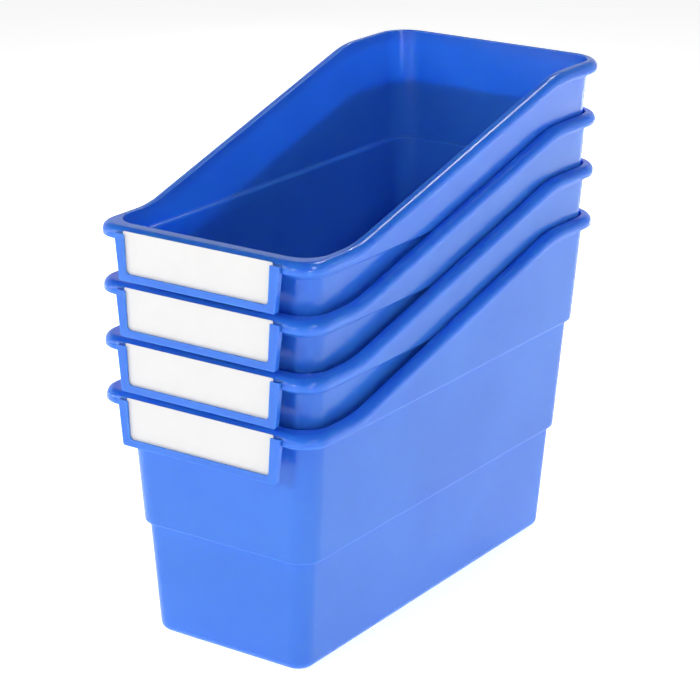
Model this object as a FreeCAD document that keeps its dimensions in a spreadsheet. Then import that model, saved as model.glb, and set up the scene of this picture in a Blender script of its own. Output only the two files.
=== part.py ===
"""Four one-piece book bins nested in a stack, each with a removable label card.

Units are millimetres, +Z up, front towards -Y.  Every bin is the same moulding:
a tapered tub with two outward steps, an open top whose edge rises in an S-curve
from the low front to the high back, a rolled quarter-round rim that hangs over
the outside all round, and a three-sided label holder that hangs from the front
rim.  Heights are measured from the underside of a bin.
"""
import FreeCAD, Part
import os
import Sketcher

V = FreeCAD.Vector
doc = FreeCAD.newDocument("NestedBookBins")

# ---------------------------------------------------------------- dimensions
sheet = doc.addObject("Spreadsheet::Sheet", "Dims")
DIMS = [
    # tub
    ("half_w", 57.3, "half width of the outside at the base"),
    ("half_d", 145.0, "half depth of the outside at the base"),
    ("side_draft", 0.0662, "outward slope of the side walls, mm per mm of height"),
    ("end_draft", 0.048, "outward slope of the front and back walls"),
    ("wall", 1.35, "wall thickness"),
    ("floor_th", 1.6, "floor thickness"),
    ("corner_rad", 11.6, "outside corner radius of the lowest section"),
    ("step_low", 74.3, "height of the lower step"),
    ("step_high", 151.9, "height of the upper step"),
    ("step_one", 3.25, "outward offset of the lower step"),
    ("step_two", 6.63, "total outward offset above the upper step"),
    ("ledge", 1.1, "thickness of each step ledge"),
    ("base_round", 5.0, "outside round along the base"),
    ("step_round", 1.6, "round on the edge of each step"),
    ("top_open", 240.0, "height the tub sections are drawn to before the edge is cut"),
    # edge line
    ("rim_front", 165.2, "height of the top edge at the front"),
    ("rim_back", 226.2, "height of the top edge at the back"),
    ("foot_y", -118.0, "where the slope meets the front height"),
    ("slope_deg", 15.62, "angle of the sloping part of the edge"),
    ("bend_rad", 86.0, "radius of the two bends of the edge"),
    # rim
    ("rim_over", 6.6, "how far the rim stands out from the wall"),
    ("rim_nose", 170.1, "distance of the rim's front face from the middle"),
    ("rim_drop", 7.3, "height of the rim"),
    ("rim_round", 5.9, "quarter-round of the rim"),
    ("rim_wall", 1.4, "thickness of the rolled rim"),
    ("rim_rad_f", 23.5, "outside corner radius of the rim at the front"),
    ("rim_rad_b", 25.0, "outside corner radius of the rim at the back"),
    ("rim_base", 150.0, "height the rim sections are drawn from"),
    # label holder
    ("hold_face", 172.6, "distance of the holder's front face from the middle"),
    ("hold_depth", 4.1, "depth of the holder, front to back"),
    ("hold_top", 162.6, "height of the top of the holder"),
    ("hold_low", 133.7, "height of the bottom of the holder"),
    ("hold_w_top", 60.1, "half width of the holder at its top"),
    ("hold_w_low", 56.9, "half width of the holder at its bottom"),
    ("hold_rad", 1.6, "bottom corner radius of the holder"),
    ("lip_th", 1.35, "thickness of the lips that keep the card in"),
    ("slot_gap", 1.0, "front-to-back width of the card slot"),
    ("slot_half", 54.8, "half width of the card slot"),
    ("slot_low", 135.8, "height of the bottom of the card slot"),
    ("win_top", 53.1, "half width of the window at the top of the holder"),
    ("win_low", 51.8, "half width of the window at its bottom"),
    ("win_base", 138.4, "height of the bottom of the window"),
    ("win_rad", 2.8, "bottom corner radius of the window"),
    # label card
    ("card_half", 54.4, "half width of the card"),
    ("card_th", 0.4, "thickness of the card"),
    ("card_low", 136.1, "height of the bottom of the card"),
    ("card_top", 164.2, "height of the top of the card"),
    ("card_rad", 0.8, "corner radius of the card"),
    # stack
    ("pitch", 35.0, "rise from one nested bin to the next"),
    ("y_shift", 1.9, "moves the middle of the stack's depth onto the origin"),
]
for row, (name, value, note) in enumerate(DIMS, start=1):
    sheet.set("A%d" % row, name)
    sheet.set("B%d" % row, repr(value))
    sheet.setAlias("B%d" % row, name)
    sheet.set("C%d" % row, note)
doc.recompute()


def dim(name):
    return float(sheet.get(name))


# ------------------------------------------------------------------- helpers
def plane(body, role):
    for feature in body.Origin.OriginFeatures:
        if feature.Role == role:
            return feature
    raise RuntimeError("no plane " + role)


def sketch_on(body, name, role, offset=None):
    """A sketch flat on one of the body's own planes, moved along its normal by an expression."""
    sk = body.newObject("Sketcher::SketchObject", name)
    sk.AttachmentSupport = [(plane(body, role), "")]
    sk.MapMode = "FlatFace"
    if offset is not None:
        sk.setExpression(".AttachmentOffset.Base.z", offset)
    return sk


def bind(sk, index, name, expression):
    sk.renameConstraint(index, name)
    sk.setExpression("Constraints." + name, expression)


def round_rect(body, name, height, left_right, front, back, rad_f, rad_b, guess):
    """A rectangle with rounded corners, level at `height`; guess holds start values for the solver."""
    sk = sketch_on(body, name, "XY_Plane", height)
    w, f, b, rf, rb = guess
    L, A = Part.LineSegment, Part.ArcOfCircle
    n = V(0, 0, 1)
    pi = 3.141592653589793
    geo = [
        L(V(-w + rf, -f, 0), V(w - rf, -f, 0)),
        A(Part.Circle(V(w - rf, -f + rf, 0), n, rf), 1.5 * pi, 2 * pi),
        L(V(w, -f + rf, 0), V(w, b - rb, 0)),
        A(Part.Circle(V(w - rb, b - rb, 0), n, rb), 0, 0.5 * pi),
        L(V(w - rb, b, 0), V(-w + rb, b, 0)),
        A(Part.Circle(V(-w + rb, b - rb, 0), n, rb), 0.5 * pi, pi),
        L(V(-w, b - rb, 0), V(-w, -f + rf, 0)),
        A(Part.Circle(V(-w + rf, -f + rf, 0), n, rf), pi, 1.5 * pi),
    ]
    sk.addGeometry(geo, False)
    C = Sketcher.Constraint
    for i in range(8):
        sk.addConstraint(C("Tangent", i, 2, (i + 1) % 8, 1))
    for i in (0, 4):
        sk.addConstraint(C("Horizontal", i))
    for i in (2, 6):
        sk.addConstraint(C("Vertical", i))
    sk.addConstraint(C("Equal", 1, 7))
    sk.addConstraint(C("Equal", 3, 5))
    bind(sk, sk.addConstraint(C("Radius", 1, rf)), "rad_front", rad_f)
    bind(sk, sk.addConstraint(C("Radius", 3, rb)), "rad_back", rad_b)
    bind(sk, sk.addConstraint(C("DistanceX", -1, 1, 2, 1, w)), "right", left_right)
    bind(sk, sk.addConstraint(C("DistanceX", 6, 1, -1, 1, w)), "left", left_right)
    bind(sk, sk.addConstraint(C("DistanceY", 0, 1, -1, 1, f)), "front", front)
    bind(sk, sk.addConstraint(C("DistanceY", -1, 1, 4, 1, b)), "back", back)
    return sk


def tub_section(body, name, level, offset, inset):
    """Outline of the tub at the cell or number `level`, stepped out by `offset` and in by `inset`."""
    z = cell_sum(level)
    off = cell_sum(offset)
    ins = cell_sum(inset)
    w = dim("half_w") + dim("side_draft") * z + off - ins
    d = dim("half_d") + dim("end_draft") * z + off - ins
    r = dim("corner_rad") + off - ins
    wide = "Dims.half_w + Dims.side_draft * (%s) + (%s) - (%s)" % (level, offset, inset)
    deep = "Dims.half_d + Dims.end_draft * (%s) + (%s) - (%s)" % (level, offset, inset)
    rad = "Dims.corner_rad + (%s) - (%s)" % (offset, inset)
    return round_rect(body, name, level, wide, deep, deep, rad, rad, (w, d, d, r, r))


def rim_section(body, name, level, inset):
    """Outline of the rim's outside at `level`, moved in by `inset`."""
    z = cell_sum(level)
    ins = cell_sum(inset)
    off = dim("step_two") + dim("rim_over") - ins
    w = dim("half_w") + dim("side_draft") * z + off
    b = dim("half_d") + dim("end_draft") * z + off
    f = dim("rim_nose") - ins
    wide = "Dims.half_w + Dims.side_draft * (%s) + Dims.step_two + Dims.rim_over - (%s)" % (level, inset)
    back = "Dims.half_d + Dims.end_draft * (%s) + Dims.step_two + Dims.rim_over - (%s)" % (level, inset)
    return round_rect(body, name, level, wide, "Dims.rim_nose - (%s)" % inset, back,
                      "Dims.rim_rad_f - (%s)" % inset, "Dims.rim_rad_b - (%s)" % inset,
                      (w, f, b, dim("rim_rad_f") - ins, dim("rim_rad_b") - ins))


def cell_sum(expression):
    """Start value of a sum of cells, such as 'Dims.step_low + Dims.ledge'."""
    total = 0.0
    sign = 1.0
    for token in expression.replace("+", " + ").replace("-", " - ").split():
        if token == "+":
            sign = 1.0
        elif token == "-":
            sign = -1.0
        else:
            total += sign * (dim(token[5:]) if token.startswith("Dims.") else float(token))
            sign = 1.0
    return total


def loft(body, kind, name, first, last):
    feature = body.newObject("PartDesign::" + kind, name)
    feature.Profile = first
    feature.Sections = [last]
    feature.Ruled = True
    first.Visibility = False
    last.Visibility = False
    return feature


def edge_cut(body, name, shift, above):
    """Removes all that lies above (or below) the S-shaped edge line moved down by `shift`."""
    import math
    sk = sketch_on(body, name + "_line", "YZ_Plane")
    s = cell_sum(shift)
    zf, zb = dim("rim_front") - s, dim("rim_back") - s
    a = math.radians(dim("slope_deg"))
    rad = dim("bend_rad")
    tl = rad * math.tan(a / 2)
    y0 = dim("foot_y")
    y1 = y0 + (zb - zf) / math.tan(a)
    far, cap = 260.0, (320.0 if above else 60.0)
    n = V(0, 0, 1)
    pi = math.pi
    p0, p1 = V(-far, zf, 0), V(y0 - tl, zf, 0)
    p2 = V(y0 + tl * math.cos(a), zf + tl * math.sin(a), 0)
    p3 = V(y1 - tl * math.cos(a), zb - tl * math.sin(a), 0)
    p4, p5 = V(y1 + tl, zb, 0), V(far, zb, 0)
    geo = [
        Part.LineSegment(p0, p1),
        Part.ArcOfCircle(Part.Circle(V(p1.x, zf + rad, 0), n, rad), 1.5 * pi, 1.5 * pi + a),
        Part.LineSegment(p2, p3),
        Part.ArcOfCircle(Part.Circle(V(p4.x, zb - rad, 0), n, rad), 0.5 * pi, 0.5 * pi + a),
        Part.LineSegment(p4, p5),
        Part.LineSegment(p5, V(far, cap, 0)),
        Part.LineSegment(V(far, cap, 0), V(-far, cap, 0)),
        Part.LineSegment(V(-far, cap, 0), p0),
    ]
    sk.addGeometry(geo, False)
    C = Sketcher.Constraint
    sk.addConstraint(C("Tangent", 0, 2, 1, 1))
    sk.addConstraint(C("Tangent", 1, 2, 2, 1))
    sk.addConstraint(C("Tangent", 2, 2, 3, 2))
    sk.addConstraint(C("Tangent", 3, 1, 4, 1))
    for i, j in ((4, 5), (5, 6), (6, 7), (7, 0)):
        sk.addConstraint(C("Coincident", i, 2, j, 1))
    for i in (0, 4, 6):
        sk.addConstraint(C("Horizontal", i))
    for i in (5, 7):
        sk.addConstraint(C("Vertical", i))
    sk.addConstraint(C("Equal", 1, 3))
    bind(sk, sk.addConstraint(C("Radius", 1, rad)), "bend", "Dims.bend_rad")
    bind(sk, sk.addConstraint(C("DistanceY", -1, 1, 0, 1, zf)), "front_height", "Dims.rim_front - (%s)" % shift)
    bind(sk, sk.addConstraint(C("DistanceY", -1, 1, 4, 2, zb)), "back_height", "Dims.rim_back - (%s)" % shift)
    bind(sk, sk.addConstraint(C("DistanceX", 0, 2, -1, 1, -p1.x)), "bend_start",
         "Dims.bend_rad * tan(Dims.slope_deg * 1 deg / 2) - Dims.foot_y")
    bind(sk, sk.addConstraint(C("DistanceX", -1, 1, 3, 1, p4.x)), "bend_end",
         "Dims.foot_y + (Dims.rim_back - Dims.rim_front) / tan(Dims.slope_deg * 1 deg)"
         " + Dims.bend_rad * tan(Dims.slope_deg * 1 deg / 2)")
    sk.addConstraint(C("DistanceX", 7, 2, -1, 1, far))
    sk.addConstraint(C("DistanceX", -1, 1, 5, 1, far))
    sk.addConstraint(C("DistanceY", -1, 1, 6, 1, cap))
    pocket = body.newObject("PartDesign::Pocket", name)
    pocket.Profile = sk
    pocket.SideType = "Symmetric"
    pocket.Type = "ThroughAll"
    sk.Visibility = False
    return pocket


def edges_where(shape, test):
    return ["Edge%d" % (i + 1) for i, e in enumerate(shape.Edges) if test(e)]


def fillet(body, name, base, test, radius):
    doc.recompute()
    names = edges_where(base.Shape, test)
    if not names:
        raise RuntimeError("no edges for " + name)
    feature = body.newObject("PartDesign::Fillet", name)
    feature.Base = (base, names)
    feature.setExpression("Radius", radius)
    doc.recompute()
    return feature


def edge_height(y, shift):
    """Height of the S-shaped edge line at depth y."""
    import math
    a = math.radians(dim("slope_deg"))
    rad = dim("bend_rad")
    tl = rad * math.tan(a / 2)
    zf, zb = dim("rim_front"), dim("rim_back")
    y0 = dim("foot_y")
    y1 = y0 + (zb - zf) / math.tan(a)
    if y <= y0 - tl:
        z = zf
    elif y < y0 + tl * math.cos(a):
        z = zf + rad - math.sqrt(rad * rad - (y - (y0 - tl)) ** 2)
    elif y <= y1 - tl * math.cos(a):
        z = zf + (y - y0) * math.tan(a)
    elif y < y1 + tl:
        z = zb - rad + math.sqrt(rad * rad - (y1 + tl - y) ** 2)
    else:
        z = zb
    return z - shift


def on_edge_line(shift, tol=0.05):
    def test(e):
        pts = e.discretize(7)
        return all(abs(p.z - edge_height(p.y, shift)) < tol for p in pts)
    return test


def level(z, tol=0.05):
    def test(e):
        return all(abs(p.z - z) < tol for p in e.discretize(7))
    return test


# ------------------------------------------------------------- one moulding
def rim_slab(body, tag, inset, shift, drop, radius):
    """The whole outline of the rim as a solid slab that follows the edge line, with its top edge rounded."""
    low = rim_section(body, tag + "_low", "Dims.rim_base", inset)
    high = rim_section(body, tag + "_high", "Dims.top_open", inset)
    loft(body, "AdditiveLoft", tag + "_block", low, high)
    edge_cut(body, tag + "_top", shift, True)
    if drop is not None:
        edge_cut(body, tag + "_under", drop, False)
    doc.recompute()
    top = cell_sum(shift)
    return fillet(body, tag + "_round", body.Tip, on_edge_line(top), radius)


def make_bin(number):
    label = "bin_%d" % number
    core = doc.addObject("PartDesign::Body", label + "_rim_core")
    rim_slab(core, "c%d" % number, "Dims.rim_wall", "Dims.rim_wall", None, "Dims.rim_round - Dims.rim_wall")

    body = doc.addObject("PartDesign::Body", label)
    body.Label = label
    rim_slab(body, "r%d" % number, "0", "0", "Dims.rim_drop", "Dims.rim_round")
    hollow = body.newObject("PartDesign::Boolean", "rim_hollow_%d" % number)
    hollow.Type = "Cut"
    hollow.addObjects([core])
    doc.recompute()

    # outside of the tub, three tapered sections
    parts = [
        ("lower", "0", "Dims.step_low", "0"),
        ("middle", "Dims.step_low", "Dims.step_high", "Dims.step_one"),
        ("upper", "Dims.step_high", "Dims.top_open", "Dims.step_two"),
    ]
    for name, z0, z1, off in parts:
        a = tub_section(body, "%s_%d_a" % (name, number), z0, off, "0")
        b = tub_section(body, "%s_%d_b" % (name, number), z1, off, "0")
        loft(body, "AdditiveLoft", "%s_%d" % (name, number), a, b)
    doc.recompute()
    edge_cut(body, "tub_edge_%d" % number, "0", True)
    doc.recompute()

    base = fillet(body, "base_round_%d" % number, body.Tip, level(0.0), "Dims.base_round")

    def step_edges(e):
        for z, off in ((dim("step_low"), dim("step_one")), (dim("step_high"), dim("step_two"))):
            if level(z)(e):
                wide = dim("half_w") + dim("side_draft") * z + off
                deep = dim("half_d") + dim("end_draft") * z + off
                rad = dim("corner_rad") + off
                # the outer edge of the ledge, not the inner corner under it
                return all(outside(p, wide, deep, rad) for p in e.discretize(7))
        return False

    fillet(body, "step_round_%d" % number, body.Tip, step_edges, "Dims.step_round")

    # label holder that hangs from the front rim
    block = holder_block(body, number)
    doc.recompute()

    # inside of the tub
    parts = [
        ("in_upper", "Dims.step_high + Dims.ledge", "Dims.top_open", "Dims.step_two"),
        ("in_middle", "Dims.step_low + Dims.ledge", "Dims.step_high + Dims.ledge", "Dims.step_one"),
        ("in_lower", "Dims.floor_th", "Dims.step_low + Dims.ledge", "0"),
    ]
    for name, z0, z1, off in parts:
        a = tub_section(body, "%s_%d_a" % (name, number), z0, off, "Dims.wall")
        b = tub_section(body, "%s_%d_b" % (name, number), z1, off, "Dims.wall")
        loft(body, "SubtractiveLoft", "%s_%d" % (name, number), a, b)
    doc.recompute()

    def floor_edges(e):
        return level(dim("floor_th"))(e)

    fillet(body, "floor_round_%d" % number, body.Tip, floor_edges, "Dims.base_round - Dims.wall")
    return body


def outside(p, wide, deep, rad, tol=0.02):
    """True where p lies on the rounded rectangle of the given half sizes."""
    x, y = abs(p.x), abs(p.y)
    if x <= wide - rad:
        return abs(y - deep) < tol
    if y <= deep - rad:
        return abs(x - wide) < tol
    return abs(((x - wide + rad) ** 2 + (y - deep + rad) ** 2) ** 0.5 - rad) < tol


def trapezoid(body, name, role, offset, top_half, low_half, top_z, low_z, rad):
    """Upright trapezoid with rounded bottom corners (top_half at top_z, low_half at low_z)."""
    sk = sketch_on(body, name, role, offset)
    wt, wl, zt, zl = (cell_sum(v) for v in (top_half, low_half, top_z, low_z))
    C = Sketcher.Constraint
    r = cell_sum(rad)
    import math
    lean = math.atan2(wt - wl, zt - zl)
    # tangent length of the rounded bottom corner
    tl = r * math.tan((math.pi / 2 - lean) / 2)
    c = (wl - tl, zl + r)
    ex = (wl + tl * math.sin(lean), zl + tl * math.cos(lean))
    geo = [
        Part.LineSegment(V(-wl + tl, zl, 0), V(wl - tl, zl, 0)),
        Part.ArcOfCircle(Part.Circle(V(c[0], c[1], 0), V(0, 0, 1), r), 1.5 * math.pi, 2 * math.pi - lean),
        Part.LineSegment(V(ex[0], ex[1], 0), V(wt, zt, 0)),
        Part.LineSegment(V(wt, zt, 0), V(-wt, zt, 0)),
        Part.LineSegment(V(-wt, zt, 0), V(-ex[0], ex[1], 0)),
        Part.ArcOfCircle(Part.Circle(V(-c[0], c[1], 0), V(0, 0, 1), r), math.pi + lean, 1.5 * math.pi),
    ]
    sk.addGeometry(geo, False)
    sk.addConstraint(C("Tangent", 0, 2, 1, 1))
    sk.addConstraint(C("Tangent", 1, 2, 2, 1))
    sk.addConstraint(C("Coincident", 2, 2, 3, 1))
    sk.addConstraint(C("Coincident", 3, 2, 4, 1))
    sk.addConstraint(C("Tangent", 4, 2, 5, 1))
    sk.addConstraint(C("Tangent", 5, 2, 0, 1))
    sk.addConstraint(C("Equal", 1, 5))
    bind(sk, sk.addConstraint(C("Radius", 1, r)), "corner", rad)
    sk.addConstraint(C("Symmetric", 3, 1, 3, 2, -2))
    sk.addConstraint(C("Symmetric", 0, 1, 0, 2, -2))
    bind(sk, sk.addConstraint(C("DistanceX", -1, 1, 3, 1, wt)), "top_half", top_half)
    bind(sk, sk.addConstraint(C("DistanceY", -1, 1, 3, 1, zt)), "top_height", top_z)
    bind(sk, sk.addConstraint(C("DistanceY", -1, 1, 0, 1, zl)), "low_height", low_z)
    # lean of the sides
    bind(sk, sk.addConstraint(C("Angle", 2, math.pi / 2 - lean)), "lean",
         "90 deg - atan(((%s) - (%s)) / ((%s) - (%s)))" % (top_half, low_half, top_z, low_z))
    return sk


def holder_block(body, number):
    outline = trapezoid(body, "holder_%d_outline" % number, "XZ_Plane", "Dims.hold_face",
                        "Dims.hold_w_top", "Dims.hold_w_low", "Dims.hold_top", "Dims.hold_low", "Dims.hold_rad")
    block = body.newObject("PartDesign::Pad", "holder_%d" % number)
    block.Profile = outline
    block.setExpression("Length", "Dims.hold_depth")
    block.Reversed = True
    outline.Visibility = False
    doc.recompute()
    before = body.Shape.Volume

    # slot that the card drops into from above
    sk = sketch_on(body, "slot_%d_outline" % number, "XZ_Plane", "Dims.hold_face - Dims.lip_th")
    w, z0, z1 = dim("slot_half"), dim("slot_low"), dim("hold_top") + 6
    sk.addGeometry([
        Part.LineSegment(V(-w, z0, 0), V(w, z0, 0)), Part.LineSegment(V(w, z0, 0), V(w, z1, 0)),
        Part.LineSegment(V(w, z1, 0), V(-w, z1, 0)), Part.LineSegment(V(-w, z1, 0), V(-w, z0, 0)),
    ], False)
    C = Sketcher.Constraint
    for i in range(4):
        sk.addConstraint(C("Coincident", i, 2, (i + 1) % 4, 1))
    for i in (0, 2):
        sk.addConstraint(C("Horizontal", i))
    for i in (1, 3):
        sk.addConstraint(C("Vertical", i))
    bind(sk, sk.addConstraint(C("DistanceX", -1, 1, 1, 1, w)), "right", "Dims.slot_half")
    bind(sk, sk.addConstraint(C("DistanceX", 3, 1, -1, 1, w)), "left", "Dims.slot_half")
    bind(sk, sk.addConstraint(C("DistanceY", -1, 1, 0, 1, z0)), "bottom", "Dims.slot_low")
    bind(sk, sk.addConstraint(C("DistanceY", -1, 1, 2, 1, z1)), "top", "Dims.hold_top + 6")
    slot = body.newObject("PartDesign::Pocket", "slot_%d" % number)
    slot.Profile = sk
    slot.Reversed = False
    slot.setExpression("Length", "Dims.slot_gap")
    sk.Visibility = False
    doc.recompute()
    check_cut(body, slot, before)

    # window in the front, so the card shows between the lips
    before = body.Shape.Volume
    win = trapezoid(body, "window_%d_outline" % number, "XZ_Plane", "Dims.hold_face",
                    "Dims.win_top", "Dims.win_low", "Dims.hold_top", "Dims.win_base", "Dims.win_rad")
    window = body.newObject("PartDesign::Pocket", "window_%d" % number)
    window.Profile = win
    window.setExpression("Length", "Dims.lip_th + Dims.slot_gap * 0.5")
    win.Visibility = False
    doc.recompute()
    check_cut(body, window, before)
    return window


def check_cut(body, feature, before):
    """A cut that points away from the solid removes nothing, so turn it round and look again."""
    if body.Shape.Volume > before - 1.0:
        feature.Reversed = not feature.Reversed
        doc.recompute()
    if body.Shape.Volume > before - 1.0:
        raise RuntimeError(feature.Name + " cuts nothing")


def make_card(number):
    label = "label_card_%d" % number
    body = doc.addObject("PartDesign::Body", label)
    body.Label = label
    sk = sketch_on(body, label + "_outline", "XZ_Plane",
                   "Dims.hold_face - Dims.lip_th - (Dims.slot_gap - Dims.card_th) / 2")
    w, z0, z1 = dim("card_half"), dim("card_low"), dim("card_top")
    sk.addGeometry([
        Part.LineSegment(V(-w, z0, 0), V(w, z0, 0)), Part.LineSegment(V(w, z0, 0), V(w, z1, 0)),
        Part.LineSegment(V(w, z1, 0), V(-w, z1, 0)), Part.LineSegment(V(-w, z1, 0), V(-w, z0, 0)),
    ], False)
    C = Sketcher.Constraint
    for i in range(4):
        sk.addConstraint(C("Coincident", i, 2, (i + 1) % 4, 1))
    for i in (0, 2):
        sk.addConstraint(C("Horizontal", i))
    for i in (1, 3):
        sk.addConstraint(C("Vertical", i))
    bind(sk, sk.addConstraint(C("DistanceX", -1, 1, 1, 1, w)), "right", "Dims.card_half")
    bind(sk, sk.addConstraint(C("DistanceX", 3, 1, -1, 1, w)), "left", "Dims.card_half")
    bind(sk, sk.addConstraint(C("DistanceY", -1, 1, 0, 1, z0)), "bottom", "Dims.card_low")
    bind(sk, sk.addConstraint(C("DistanceY", -1, 1, 2, 1, z1)), "top", "Dims.card_top")
    pad = body.newObject("PartDesign::Pad", label + "_sheet")
    pad.Profile = sk
    pad.setExpression("Length", "Dims.card_th")
    pad.Reversed = True
    sk.Visibility = False
    doc.recompute()

    def uprights(e):
        # the four short edges through the card's thickness
        a, b = e.Vertexes[0].Point, e.Vertexes[-1].Point
        return abs(a.x - b.x) < 1e-6 and abs(a.z - b.z) < 1e-6

    fillet(body, label + "_corners", pad, uprights, "Dims.card_rad")
    return body


COUNT = 4
nodes = []
for n in range(1, COUNT + 1):
    for body in (make_bin(n), make_card(n)):
        body.setExpression(".Placement.Base.z", "Dims.pitch * %d" % (n - 1))
        body.setExpression(".Placement.Base.y", "Dims.y_shift")
        nodes.append(body)
doc.recompute()

# -------------------------------------------------------------------- checks
bad = [o.Name for o in doc.Objects if "Invalid" in o.State or "Error" in o.State]
if bad:
    raise RuntimeError("failed objects: " + ", ".join(bad))
for body in nodes:
    shape = body.Shape
    if shape.isNull() or not shape.isValid() or len(shape.Solids) != 1:
        raise RuntimeError("bad shape: " + body.Label)
    top = max(v.Point.z for v in shape.Vertexes) - body.Placement.Base.z
    wanted = dim("rim_back") if body.Label.startswith("bin_") else dim("card_top")
    if abs(top - wanted) > 0.01:
        raise RuntimeError("wrong height: %s %.3f" % (body.Label, top))

os.makedirs("parts", exist_ok=True)
lo = [min(b.Shape.BoundBox.XMin for b in nodes), min(b.Shape.BoundBox.YMin for b in nodes), min(b.Shape.BoundBox.ZMin for b in nodes)]
hi = [max(b.Shape.BoundBox.XMax for b in nodes), max(b.Shape.BoundBox.YMax for b in nodes), max(b.Shape.BoundBox.ZMax for b in nodes)]
print("box", [round(v, 3) for v in lo], [round(v, 3) for v in hi])
for body in nodes:
    body.Shape.exportStep("parts/%s.step" % body.Label)
    print(body.Label, "volume", round(body.Shape.Volume, 1), "faces", len(body.Shape.Faces))
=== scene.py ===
"""Looks of the nested book bins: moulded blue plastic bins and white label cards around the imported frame."""
import math

import bmesh
import bpy
import numpy as np
from mathutils import Matrix, Vector


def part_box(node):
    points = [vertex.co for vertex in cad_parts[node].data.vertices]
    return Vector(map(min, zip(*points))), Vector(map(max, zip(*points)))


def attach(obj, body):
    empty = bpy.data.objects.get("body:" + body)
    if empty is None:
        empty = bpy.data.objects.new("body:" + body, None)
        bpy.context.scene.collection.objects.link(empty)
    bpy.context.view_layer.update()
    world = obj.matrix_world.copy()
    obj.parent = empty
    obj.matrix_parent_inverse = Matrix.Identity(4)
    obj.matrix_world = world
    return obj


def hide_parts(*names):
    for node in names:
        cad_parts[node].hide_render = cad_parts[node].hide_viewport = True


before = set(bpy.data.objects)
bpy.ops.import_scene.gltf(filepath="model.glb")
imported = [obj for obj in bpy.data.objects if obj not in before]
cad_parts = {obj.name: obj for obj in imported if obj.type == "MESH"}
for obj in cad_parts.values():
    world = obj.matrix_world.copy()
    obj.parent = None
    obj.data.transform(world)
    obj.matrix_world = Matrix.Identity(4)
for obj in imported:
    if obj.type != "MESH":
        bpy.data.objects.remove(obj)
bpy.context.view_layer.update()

MM = 0.001
COUNT = 4

# ------------------------------------------------------------------ sizes, mm
HALF_W, HALF_D = 57.3, 145.0          # tub outside at the base
SIDE_DRAFT, END_DRAFT = 0.0662, 0.048
WALL, FLOOR_TH, CORNER = 1.35, 1.6, 11.6
STEPS = ((74.3, 0.0, 3.25), (151.9, 3.25, 6.63))   # height, offset below, offset above
LEDGE = 1.1
BASE_ROUND, STEP_ROUND = 5.0, 1.6
TOP_OFF = 6.63
RIM_FRONT, RIM_BACK, FOOT_Y, SLOPE, BEND = 165.2, 226.2, -118.0, math.radians(15.62), 86.0
RIM_OVER, RIM_NOSE, RIM_DROP, RIM_ROUND, RIM_WALL = 6.2, 170.1, 7.2, 5.6, 1.4
RIM_RAD_F, RIM_RAD_B = 18.4, 25.0
HOLD_FACE, HOLD_DEPTH, HOLD_TOP, HOLD_LOW = 172.6, 4.1, 162.6, 133.7
HOLD_W_TOP, HOLD_W_LOW, HOLD_RAD = 60.1, 56.9, 1.6
LIP, SLOT_GAP, SLOT_HALF, SLOT_LOW = 1.35, 1.0, 54.8, 135.8
WIN_TOP, WIN_LOW, WIN_BASE, WIN_RAD = 53.1, 51.8, 138.4, 2.8

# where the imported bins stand: the holder's face is a bin's lowest y, its base its lowest z
bin_lo, bin_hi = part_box("bin_1")
Y_MID = bin_lo.y / MM + HOLD_FACE


def edge_z(y):
    """Height of the S-shaped top edge at depth y (mm, from the tub's middle)."""
    y = np.asarray(y, float)
    tl = BEND * math.tan(SLOPE / 2)
    y1 = FOOT_Y + (RIM_BACK - RIM_FRONT) / math.tan(SLOPE)
    z = RIM_FRONT + (y - FOOT_Y) * math.tan(SLOPE)
    low = y < FOOT_Y + tl * math.cos(SLOPE)
    z = np.where(low, RIM_FRONT + BEND - np.sqrt(np.maximum(BEND ** 2 - np.maximum(y - (FOOT_Y - tl), 0) ** 2, 0)), z)
    high = y > y1 - tl * math.cos(SLOPE)
    z = np.where(high, RIM_BACK - BEND + np.sqrt(np.maximum(BEND ** 2 - np.maximum(y1 + tl - y, 0) ** 2, 0)), z)
    return z


# -------------------------------------------------------- rings of the moulding
N_FRONT, N_CORNER, N_SIDE, N_BACK = 30, 14, 132, 30


def template():
    """Signs and fractions that turn half sizes and corner radii into one closed outline."""
    rows = []
    for i in range(N_FRONT):
        rows.append(("f", 2 * i / N_FRONT - 1, 0))
    for i in range(N_CORNER):
        rows.append(("cf", 1, -90 + 90 * i / N_CORNER))
    for i in range(N_SIDE):
        rows.append(("s", 1, i / N_SIDE))
    for i in range(N_CORNER):
        rows.append(("cb", 1, 90 * i / N_CORNER))
    for i in range(N_BACK):
        rows.append(("b", 1 - 2 * i / N_BACK, 0))
    for i in range(N_CORNER):
        rows.append(("cb", -1, 90 - 90 * i / N_CORNER))
    for i in range(N_SIDE):
        rows.append(("s", -1, 1 - i / N_SIDE))
    for i in range(N_CORNER):
        rows.append(("cf", -1, -90 * i / N_CORNER))
    return rows


ROWS = template()
N = len(ROWS)


def outline(w, f, b, rf, rb):
    """Outline points for per-point half width w, front distance f and back distance b."""
    x, y = np.zeros(N), np.zeros(N)
    for i, (kind, a, c) in enumerate(ROWS):
        if kind == "f":
            x[i], y[i] = a * (w[i] - rf), -f[i]
        elif kind == "b":
            x[i], y[i] = a * (w[i] - rb), b[i]
        elif kind == "s":
            x[i], y[i] = a * w[i], (-f[i] + rf) * (1 - c) + (b[i] - rb) * c
        elif kind == "cf":
            t = math.radians(c)
            x[i], y[i] = a * (w[i] - rf + rf * math.cos(t)), -f[i] + rf + rf * math.sin(t)
        else:
            t = math.radians(c)
            x[i], y[i] = a * (w[i] - rb + rb * math.cos(t)), b[i] - rb + rb * math.sin(t)
    return x, y


def settle(size, height):
    """Solves for heights that depend on the depth of each point."""
    z = np.full(N, 190.0)
    for _ in range(6):
        x, y = outline(*size(z))
        z = height(y) if callable(height) else np.full(N, float(height))
    x, y = outline(*size(z))
    return np.stack([x, y, z], 1)


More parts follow.
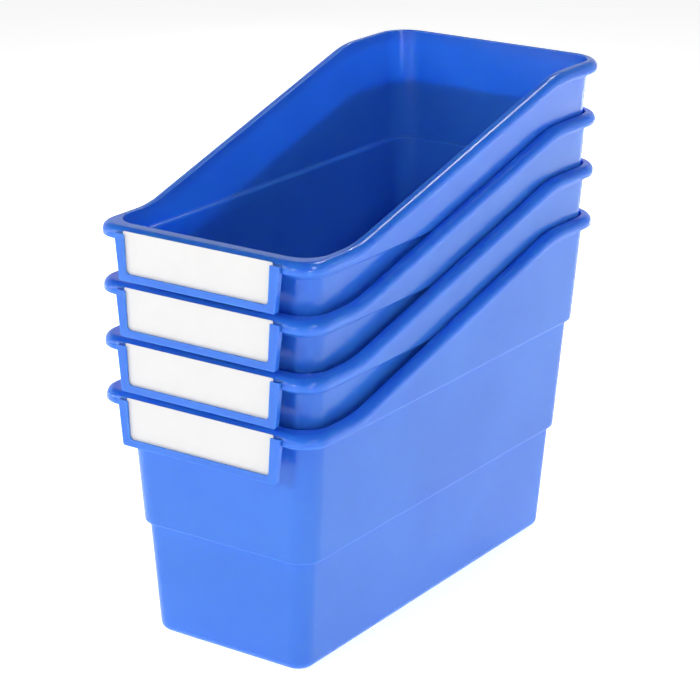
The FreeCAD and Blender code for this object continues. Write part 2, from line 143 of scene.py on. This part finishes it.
def tub(off, height):
    """Ring on the tub at outward offset `off` (the inside is off - WALL)."""
    def size(z):
        d = HALF_D + END_DRAFT * z + off
        return HALF_W + SIDE_DRAFT * z + off, d, d, CORNER + off, CORNER + off
    return settle(size, height)


def rim(inset, height):
    """Ring on the rim's outline, moved in by `inset`."""
    def size(z):
        o = TOP_OFF + RIM_OVER - inset
        return (HALF_W + SIDE_DRAFT * z + o, np.full(N, RIM_NOSE - inset), HALF_D + END_DRAFT * z + o,
                RIM_RAD_F - inset, RIM_RAD_B - inset)
    return settle(size, height)


def below(s):
    return lambda y: edge_z(y) - s


def between(z0, s, t):
    """A height a fraction t of the way from the level z0 to the edge line less s."""
    return lambda y: z0 + (edge_z(y) - s - z0) * t


def arc(n):
    return [math.radians(90 * i / n) for i in range(n + 1)]


def bin_rings():
    rings = []
    add = rings.append
    # inside: floor, floor round, walls and ledges
    r = BASE_ROUND - WALL
    for inset in (30.0, 8.0, 1.0):
        add(tub(-WALL - r - inset, FLOOR_TH))
    for a in arc(8):
        add(tub(-WALL - r * (1 - math.sin(a)), FLOOR_TH + r * (1 - math.cos(a))))
    z = FLOOR_TH + r
    convex, concave = 1.9, 0.7
    for height, low, high in STEPS:
        top = height + LEDGE
        add(tub(low - WALL, z + 0.6))
        for t in (0.25, 0.5, 0.75):
            add(tub(low - WALL, z + (top - convex - z) * t))
        add(tub(low - WALL, top - convex - 0.6))
        for a in arc(8):
            add(tub(low - WALL + convex * (1 - math.cos(a)), top - convex + convex * math.sin(a)))
        for a in arc(4):
            add(tub(high - WALL - concave * (1 - math.sin(a)), top + concave * (1 - math.cos(a))))
        z = top + concave
    add(tub(TOP_OFF - WALL, z + 0.5))
    edge_r = 0.7
    for t in (0.2, 0.4, 0.6, 0.8):
        add(tub(TOP_OFF - WALL, between(z + 0.5, edge_r + 0.5, t)))
    add(tub(TOP_OFF - WALL, below(edge_r + 0.5)))
    for a in arc(5):
        add(tub(TOP_OFF - WALL + edge_r * (1 - math.cos(a)), below(edge_r - edge_r * math.sin(a))))
    # rolled rim: flat top, quarter round, drop, lower edge, hollow underside
    add(tub(TOP_OFF - WALL + edge_r + 0.15, below(0)))
    add(rim(RIM_ROUND + 0.2, below(0)))
    for a in arc(14):
        add(rim(RIM_ROUND * (1 - math.sin(a)), below(RIM_ROUND * (1 - math.cos(a)))))
    r = 0.55
    add(rim(0, below(RIM_DROP - r - 0.3)))
    for a in arc(4):
        add(rim(r * (1 - math.cos(a)), below(RIM_DROP - r + r * math.sin(a))))
    for a in arc(4):
        add(rim(RIM_WALL - r * (1 - math.sin(a)), below(RIM_DROP - r * (1 - math.cos(a)))))
    core = 3.5
    for a in reversed(arc(8)):
        add(rim(RIM_WALL + core * (1 - math.sin(a)), below(RIM_WALL + core * (1 - math.cos(a)))))
    r = 0.5
    for a in arc(3):
        add(tub(TOP_OFF + r * (1 - math.sin(a)), below(RIM_WALL + r * (1 - math.cos(a)))))
    # outside walls and steps, from the top down
    z = None
    for height, low, high in reversed(STEPS):
        z1 = height + STEP_ROUND
        if z is None:
            for t in (0.8, 0.6, 0.4, 0.2):
                add(tub(high, between(z1 + 0.5, RIM_WALL + r, t)))
        else:
            for t in (0.75, 0.5, 0.25):
                add(tub(high, z1 + (z - z1) * t))
        add(tub(high, z1 + 0.5))
        for a in arc(8):
            add(tub(high - STEP_ROUND * (1 - math.cos(a)), z1 - STEP_ROUND * math.sin(a)))
        for a in arc(3):
            add(tub(low + 0.5 * (1 - math.sin(a)), height - 0.5 * (1 - math.cos(a))))
        z = height - 0.5
        add(tub(low, z - 0.5))
    for t in (0.75, 0.5, 0.25):
        add(tub(0, BASE_ROUND + (z - BASE_ROUND) * t))
    add(tub(0, BASE_ROUND + 0.6))
    for a in arc(10):
        add(tub(-BASE_ROUND * (1 - math.cos(a)), BASE_ROUND * (1 - math.sin(a))))
    for inset in (1.0, 8.0, 30.0):
        add(tub(-BASE_ROUND - inset, 0.0))
    return rings


def cap(bm, ring, up):
    """Closes a flat ring with a lattice of quads across from side to side."""
    f, c, s = N_FRONT, N_CORNER, N_SIDE
    # pair the points of the right half with those of the left half, front to back
    right = [ring[i % N] for i in range(f // 2, f + c + s + c + N_BACK // 2 + 1)]
    left = [ring[i % N] for i in range(f // 2, f // 2 - (N - len(right) + 2), -1)]
    for i in range(len(right) - 1):
        a, b, cc, d = right[i], right[i + 1], left[i + 1], left[i]
        quad = [a, b, cc, d] if up else [d, cc, b, a]
        unique = []
        for v in quad:
            if v not in unique:
                unique.append(v)
        if len(unique) > 2:
            bm.faces.new(unique)


def prism(outline_xz, y0, y1):
    """Closed prism between two depths; the outline is anticlockwise seen from the front."""
    bm = bmesh.new()
    front = [bm.verts.new((x * MM, y0 * MM, z * MM)) for x, z in outline_xz]
    back = [bm.verts.new((x * MM, y1 * MM, z * MM)) for x, z in outline_xz]
    bm.faces.new(front)
    bm.faces.new(list(reversed(back)))
    n = len(front)
    for i in range(n):
        bm.faces.new([front[(i + 1) % n], front[i], back[i], back[(i + 1) % n]])
    bm.normal_update()
    mesh = bpy.data.meshes.new("prism")
    bm.to_mesh(mesh)
    bm.free()
    return mesh


def trapezoid(top_half, low_half, top_z, low_z, rad, n=8):
    lean = math.atan2(top_half - low_half, top_z - low_z)
    tl = rad * math.tan((math.pi / 2 - lean) / 2)
    cx, cz = low_half - tl, low_z + rad
    right = []
    for i in range(n + 1):
        t = -math.pi / 2 + (math.pi / 2 - lean) * i / n
        right.append((cx + rad * math.cos(t), cz + rad * math.sin(t)))
    right.append((top_half, top_z))
    return right + [(-x, z) for x, z in reversed(right)]


def evaluated(obj):
    """Mesh of obj with its modifiers applied; the helper object is removed."""
    bpy.context.view_layer.update()
    dg = bpy.context.evaluated_depsgraph_get()
    mesh = bpy.data.meshes.new_from_object(obj.evaluated_get(dg))
    bpy.data.objects.remove(obj)
    return mesh


def helper(mesh, name="helper"):
    obj = bpy.data.objects.new(name, mesh)
    bpy.context.scene.collection.objects.link(obj)
    return obj


def holder_mesh():
    """Three-sided label holder: back plate, slot for the card and lips round the window."""
    block = helper(prism(trapezoid(HOLD_W_TOP, HOLD_W_LOW, HOLD_TOP, HOLD_LOW, HOLD_RAD), -HOLD_FACE, -HOLD_FACE + HOLD_DEPTH))
    y0 = -HOLD_FACE + LIP
    slot = helper(prism([(-SLOT_HALF, SLOT_LOW), (SLOT_HALF, SLOT_LOW), (SLOT_HALF, HOLD_TOP + 3), (-SLOT_HALF, HOLD_TOP + 3)],
                        y0, y0 + SLOT_GAP))
    k = (WIN_TOP - WIN_LOW) / (HOLD_TOP - WIN_BASE)
    window = helper(prism(trapezoid(WIN_TOP + 3 * k, WIN_LOW, HOLD_TOP + 3, WIN_BASE, WIN_RAD), -HOLD_FACE - 2, y0 + SLOT_GAP * 0.5))
    for cutter in (slot, window):
        m = block.modifiers.new("cut", "BOOLEAN")
        m.operation, m.solver, m.object = "DIFFERENCE", "EXACT", cutter
    mesh = evaluated(block)
    for cutter in (slot, window):
        bpy.data.objects.remove(cutter)
    block = helper(mesh)
    bev = block.modifiers.new("bevel", "BEVEL")
    bev.width, bev.segments, bev.limit_method, bev.angle_limit = 0.42 * MM, 3, "ANGLE", math.radians(40)
    bev.miter_outer = "MITER_ARC"
    bev.harden_normals = False
    return evaluated(block)


def bin_mesh():
    rings = bin_rings()
    bm = bmesh.new()
    loops = []
    for ring in rings:
        loops.append([bm.verts.new(p * MM) for p in ring])
    for a, b in zip(loops, loops[1:]):
        for i in range(N):
            j = (i + 1) % N
            bm.faces.new([a[i], a[j], b[j], b[i]])
    cap(bm, loops[0], True)
    cap(bm, loops[-1], False)
    bm.normal_update()
    bmesh.ops.recalc_face_normals(bm, faces=bm.faces)
    for face in bm.faces:
        face.smooth = True
    holder = bmesh.new()
    hm = holder_mesh()
    holder.from_mesh(hm)
    for face in holder.faces:
        face.smooth = True
    tmp = bpy.data.meshes.new("holder_tmp")
    holder.to_mesh(tmp)
    holder.free()
    bm.from_mesh(tmp)
    bpy.data.meshes.remove(tmp)
    mesh = bpy.data.meshes.new("book_bin")
    bm.to_mesh(mesh)
    bm.free()
    return mesh


# ------------------------------------------------------------------ materials
def node(nt, kind, **settings):
    n = nt.nodes.new(kind)
    for k, v in settings.items():
        if k in n.inputs:
            n.inputs[k].default_value = v
        else:
            setattr(n, k, v)
    return n


def ramp(nt, source, stops):
    n = nt.nodes.new("ShaderNodeValToRGB")
    e = n.color_ramp.elements
    while len(e) > len(stops):
        e.remove(e[-1])
    while len(e) < len(stops):
        e.new(0.5)
    for item, (pos, col) in zip(e, stops):
        item.position = pos
        item.color = (*col, 1) if len(col) == 3 else (col[0],) * 3 + (1,)
    nt.links.new(source, n.inputs["Fac"])
    return n


def plastic():
    """Glossy injection-moulded polypropylene: faint flow clouding, fine moulded grain, light scuffs."""
    mat = bpy.data.materials.new("bin_plastic_blue")
    mat.use_nodes = True
    nt = mat.node_tree
    bsdf = nt.nodes["Principled BSDF"]
    link = nt.links.new
    coord = nt.nodes.new("ShaderNodeTexCoord")
    seed = node(nt, "ShaderNodeAttribute", attribute_name="bin_seed")
    shift = nt.nodes.new("ShaderNodeVectorMath")
    shift.operation = "ADD"
    link(coord.outputs["Object"], shift.inputs[0])
    link(seed.outputs["Vector"], shift.inputs[1])
    place = shift.outputs[0]

    cloud = node(nt, "ShaderNodeTexNoise", Scale=14.0, Detail=3.0, Roughness=0.5)
    link(place, cloud.inputs["Vector"])
    tone = ramp(nt, cloud.outputs["Fac"], [(0.32, (0.036, 0.195, 0.76)), (0.68, (0.044, 0.222, 0.83))])
    link(tone.outputs["Color"], bsdf.inputs["Base Color"])

    grain = node(nt, "ShaderNodeTexNoise", Scale=900.0, Detail=3.0, Roughness=0.6)
    link(place, grain.inputs["Vector"])
    sheen = node(nt, "ShaderNodeTexNoise", Scale=45.0, Detail=4.0, Roughness=0.62)
    link(place, sheen.inputs["Vector"])
    rough = nt.nodes.new("ShaderNodeMapRange")
    rough.inputs["From Min"].default_value, rough.inputs["From Max"].default_value = 0.3, 0.7
    rough.inputs["To Min"].default_value, rough.inputs["To Max"].default_value = 0.17, 0.25
    link(sheen.outputs["Fac"], rough.inputs["Value"])
    link(rough.outputs["Result"], bsdf.inputs["Roughness"])

    wave = node(nt, "ShaderNodeTexNoise", Scale=22.0, Detail=1.0, Roughness=0.4)
    link(place, wave.inputs["Vector"])
    bump_fine = node(nt, "ShaderNodeBump", Strength=0.05, Distance=0.0002)
    link(grain.outputs["Fac"], bump_fine.inputs["Height"])
    bump_wave = node(nt, "ShaderNodeBump", Strength=0.10, Distance=0.0008)
    link(wave.outputs["Fac"], bump_wave.inputs["Height"])
    link(bump_fine.outputs["Normal"], bump_wave.inputs["Normal"])
    link(bump_wave.outputs["Normal"], bsdf.inputs["Normal"])
    bsdf.inputs["IOR"].default_value = 1.5
    # thin walls let light through: single walls glow, nested ones stay dark
    bsdf.inputs["Subsurface Weight"].default_value = 1.0
    bsdf.inputs["Subsurface Scale"].default_value = 0.0025
    bsdf.inputs["Subsurface Radius"].default_value = (0.85, 1.45, 1.0)
    return mat


def card_stock():
    """Smooth white label card with a faint paper fibre and tone."""
    mat = bpy.data.materials.new("label_card_white")
    mat.use_nodes = True
    nt = mat.node_tree
    bsdf = nt.nodes["Principled BSDF"]
    link = nt.links.new
    coord = nt.nodes.new("ShaderNodeTexCoord")
    tone_noise = node(nt, "ShaderNodeTexNoise", Scale=60.0, Detail=3.0, Roughness=0.55)
    link(coord.outputs["Object"], tone_noise.inputs["Vector"])
    tone = ramp(nt, tone_noise.outputs["Fac"], [(0.35, (0.792, 0.786, 0.778)), (0.65, (0.806, 0.801, 0.794))])
    link(tone.outputs["Color"], bsdf.inputs["Base Color"])
    squeeze = nt.nodes.new("ShaderNodeMapping")
    squeeze.inputs["Scale"].default_value = (0.35, 1.0, 1.0)
    link(coord.outputs["Object"], squeeze.inputs["Vector"])
    fibre = node(nt, "ShaderNodeTexNoise", Scale=2600.0, Detail=3.0, Roughness=0.65)
    link(squeeze.outputs["Vector"], fibre.inputs["Vector"])
    bump = node(nt, "ShaderNodeBump", Strength=0.12, Distance=0.0001)
    link(fibre.outputs["Fac"], bump.inputs["Height"])
    link(bump.outputs["Normal"], bsdf.inputs["Normal"])
    rough = nt.nodes.new("ShaderNodeMapRange")
    rough.inputs["To Min"].default_value, rough.inputs["To Max"].default_value = 0.48, 0.62
    link(tone_noise.outputs["Fac"], rough.inputs["Value"])
    link(rough.outputs["Result"], bsdf.inputs["Roughness"])
    return mat


def floor_stock():
    mat = bpy.data.materials.new("floor_pale")
    mat.use_nodes = True
    nt = mat.node_tree
    bsdf = nt.nodes["Principled BSDF"]
    noise = node(nt, "ShaderNodeTexNoise", Scale=6.0, Detail=2.0)
    tone = ramp(nt, noise.outputs["Fac"], [(0.3, (0.86, 0.86, 0.86)), (0.7, (0.875, 0.875, 0.875))])
    nt.links.new(tone.outputs["Color"], bsdf.inputs["Base Color"])
    bsdf.inputs["Roughness"].default_value = 0.9
    bsdf.inputs["Specular IOR Level"].default_value = 0.1
    # a lit white sweep: the floor glows a little, so no grey falls off behind the stack
    bsdf.inputs["Emission Color"].default_value = (1.0, 1.0, 1.0, 1.0)
    bsdf.inputs["Emission Strength"].default_value = 0.74
    return mat


# --------------------------------------------------------------------- pieces
blue, white = plastic(), card_stock()
base_mesh = bin_mesh()
base_mesh.materials.append(blue)


def card_mesh():
    """A thin card with softly rounded corners and edges, filling the CAD card's box."""
    lo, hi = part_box("label_card_1")
    w, r = (hi.x - lo.x) / 2, 0.8 * MM
    z0, z1, y0, y1 = lo.z, hi.z, lo.y, hi.y
    pts = []
    for cx, cz, a0 in ((w - r, z0 + r, -90), (w - r, z1 - r, 0), (-w + r, z1 - r, 90), (-w + r, z0 + r, 180)):
        for i in range(7):
            t = math.radians(a0 + 15 * i)
            pts.append(((cx + r * math.cos(t)) / MM, (cz + r * math.sin(t)) / MM))
    card = helper(prism(pts, y0 / MM, y1 / MM))
    bev = card.modifiers.new("bevel", "BEVEL")
    bev.width, bev.segments, bev.limit_method, bev.angle_limit = 0.09 * MM, 2, "ANGLE", math.radians(50)
    mesh = evaluated(card)
    for p in mesh.polygons:
        p.use_smooth = True
    return mesh


base_card = card_mesh()
base_card.materials.append(white)
card_ref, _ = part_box("label_card_1")

for k in range(1, COUNT + 1):
    lo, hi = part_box("bin_%d" % k)
    mesh = base_mesh.copy()
    seed = mesh.attributes.new("bin_seed", "FLOAT_VECTOR", "POINT")
    offset = np.tile(np.array([3.1 * k, 1.7 * k, 2.3 * k], np.float32), (len(mesh.vertices), 1))
    seed.data.foreach_set("vector", offset.ravel())
    piece = bpy.data.objects.new("book_bin_%d" % k, mesh)
    bpy.context.scene.collection.objects.link(piece)
    piece.location = (0, Y_MID * MM, lo.z)
    wn = piece.modifiers.new("weighted", "WEIGHTED_NORMAL")
    wn.keep_sharp = True
    wn.weight = 60
    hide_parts("bin_%d" % k)
    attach(piece, "bin_%d" % k)

    clo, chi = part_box("label_card_%d" % k)
    cmesh = base_card.copy()
    card = bpy.data.objects.new("white_card_%d" % k, cmesh)
    bpy.context.scene.collection.objects.link(card)
    card.location = (0, clo.y - card_ref.y, clo.z - card_ref.z)
    wn = card.modifiers.new("weighted", "WEIGHTED_NORMAL")
    wn.weight = 60
    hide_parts("label_card_%d" % k)
    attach(card, "label_%d" % k)

# --------------------------------------------------------------- floor, light
bm = bmesh.new()
bmesh.ops.create_grid(bm, x_segments=8, y_segments=8, size=6.0)
floor_mesh = bpy.data.meshes.new("floor")
bm.to_mesh(floor_mesh)
bm.free()
floor = bpy.data.objects.new("floor", floor_mesh)
bpy.context.scene.collection.objects.link(floor)
floor.location.z = -0.0002
floor_mesh.materials.append(floor_stock())

world = bpy.data.worlds.new("studio")
bpy.context.scene.world = world
world.use_nodes = True
wt = world.node_tree
sky = wt.nodes.new("ShaderNodeTexCoord")
split = wt.nodes.new("ShaderNodeSeparateXYZ")
wt.links.new(sky.outputs["Generated"], split.inputs[0])
# a white cyclorama: bright round the horizon, lower on the right, dark overhead
east = wt.nodes.new("ShaderNodeMath")
east.operation = "MAXIMUM"
wt.links.new(split.outputs["X"], east.inputs[0])
east.inputs[1].default_value = 0.0
lift = wt.nodes.new("ShaderNodeMath")
lift.operation = "MULTIPLY_ADD"
wt.links.new(east.outputs[0], lift.inputs[0])
lift.inputs[1].default_value = 0.28
wt.links.new(split.outputs["Z"], lift.inputs[2])
dome = ramp(wt, lift.outputs[0], [(0.0, (1.0, 1.0, 1.0)), (0.36, (1.0, 1.0, 1.0)), (0.56, (0.012, 0.012, 0.014))])
wt.links.new(dome.outputs["Color"], wt.nodes["Background"].inputs["Color"])
wt.nodes["Background"].inputs["Strength"].default_value = 0.72


def area(name, place, aim, size, power, size_y=None, shape="RECTANGLE"):
    data = bpy.data.lights.new(name, "AREA")
    data.energy, data.shape, data.size = power, shape, size
    data.size_y = size_y or size
    obj = bpy.data.objects.new(name, data)
    bpy.context.scene.collection.objects.link(obj)
    obj.location = place
    obj.rotation_mode = "QUATERNION"
    obj.rotation_quaternion = (Vector(aim) - Vector(place)).to_track_quat("-Z", "Y")
    return obj


MIDDLE = (0.02, 0.0, 0.26)
# long softbox high behind the stack, which draws the streak along each sloping rim
area("streak", (0.08, 0.72, 1.60), (0.08, 0.0, 0.29), 0.26, 4.4, size_y=0.34)
# right key and small fills at the front, which put the spots on the rim corners
area("key", (1.29, -0.34, 1.30), MIDDLE, 0.16, 4.5)
area("fill_front", (0.02, -1.75, 0.85), MIDDLE, 0.30, 5.0)
area("fill_right", (1.45, -0.95, 0.42), MIDDLE, 0.16, 3.0)
area("fill_left", (-1.05, -1.25, 1.00), MIDDLE, 0.70, 5.0)
area("spot_left", (-1.45, -0.85, 0.50), MIDDLE, 0.13, 2.0)
area("dot", (-0.22, 1.15, 1.42), MIDDLE, 0.09, 2.0)
# low panels behind and to the left, which shine through the walls that stand alone
for name, place in (("glow_back", (0.10, 1.40, 0.20)), ("glow_left", (-1.40, 0.30, 0.20))):
    panel = area(name, place, (0.0, 0.0, 0.24), 1.1, 13.0, size_y=0.3)
    panel.visible_camera = False
    panel.visible_glossy = False

# --------------------------------------------------------------------- camera
AZ, EL, ROLL, DIST = 0.5938723, 0.3347940, 0.0071863, 1.559518
TARGET = Vector((0.025825, -0.049430 + Y_MID * MM, 0.176362))
back = Vector((math.sin(AZ) * math.cos(EL), -math.cos(AZ) * math.cos(EL), math.sin(EL)))
fwd = -back
right = fwd.cross(Vector((0, 0, 1))).normalized()
up = right.cross(fwd)
r2 = math.cos(ROLL) * right + math.sin(ROLL) * up
u2 = -math.sin(ROLL) * right + math.cos(ROLL) * up
cam_data = bpy.data.cameras.new("camera")
cam_data.sensor_width = 36.0
cam_data.lens = 2502.41 / 700 * 36.0
cam_data.clip_start, cam_data.clip_end = 0.05, 50
cam = bpy.data.objects.new("camera", cam_data)
bpy.context.scene.collection.objects.link(cam)
rot = Matrix((r2, u2, back)).transposed()
cam.matrix_world = Matrix.Translation(TARGET + back * DIST) @ rot.to_4x4()
bpy.context.scene.camera = cam

view = bpy.context.scene.view_settings
view.view_transform = "Standard"
view.look = "None"

bpy.context.view_layer.update()
